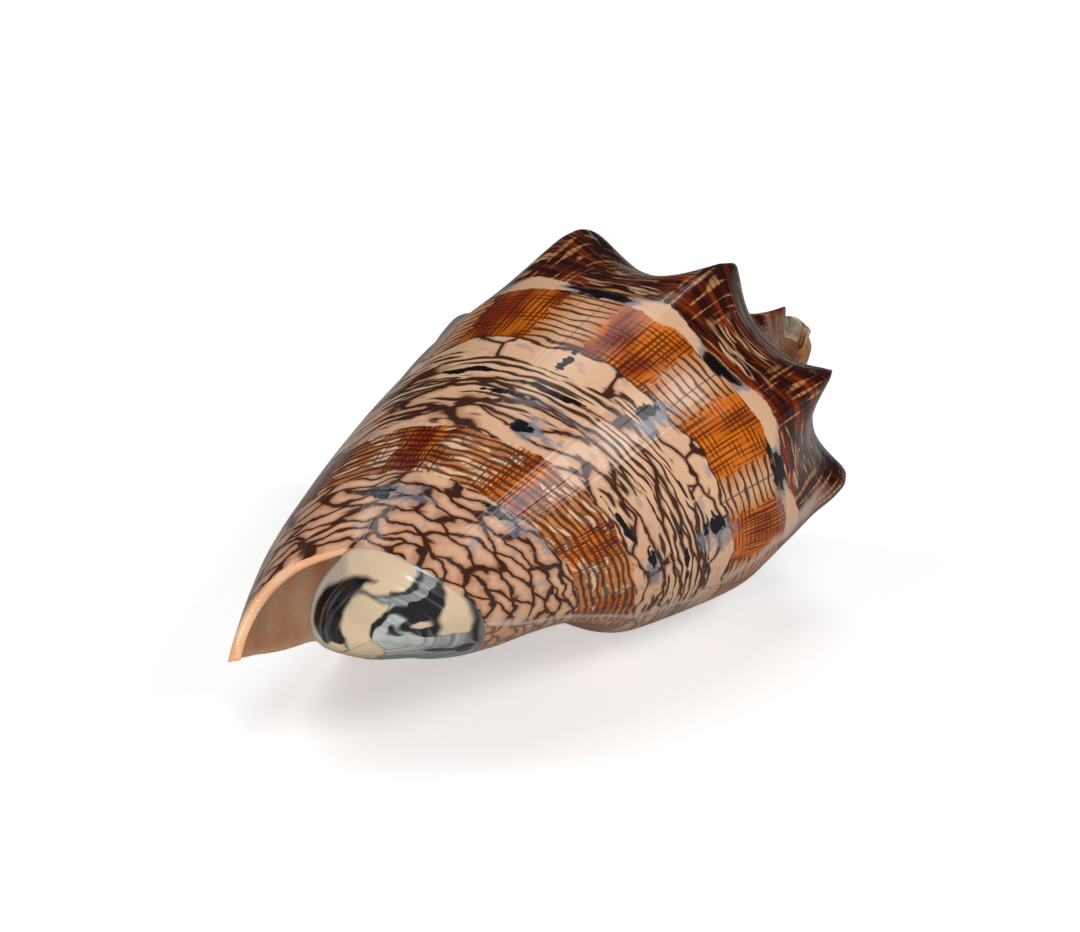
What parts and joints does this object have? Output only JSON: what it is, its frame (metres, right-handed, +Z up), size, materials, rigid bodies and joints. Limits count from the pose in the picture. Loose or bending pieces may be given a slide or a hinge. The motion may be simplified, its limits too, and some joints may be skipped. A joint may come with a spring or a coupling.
{
  "type": "volute shell",
  "caption": "Large sea snail shell with a spiny crowned shoulder, a patterned glossy body whorl, a wide aperture and a notched front end.",
  "frame": {"origin": "centre of the bounding box in plan, on the surface that the shell lies on", "axes": "+Y towards the apex along the shell's length, -Y towards the front end with the notch, +Z up with the aperture facing down, outer lip on the -X side"},
  "size_m": [0.096, 0.174, 0.0844],
  "materials": {
    "shell": "naturally glossy lime shell, cream ground with dark brown lines and orange-brown blocks, glazed peach inside"
  },
  "bodies": {
    "root": {"shell": "shell"}
  },
  "joints": []
}
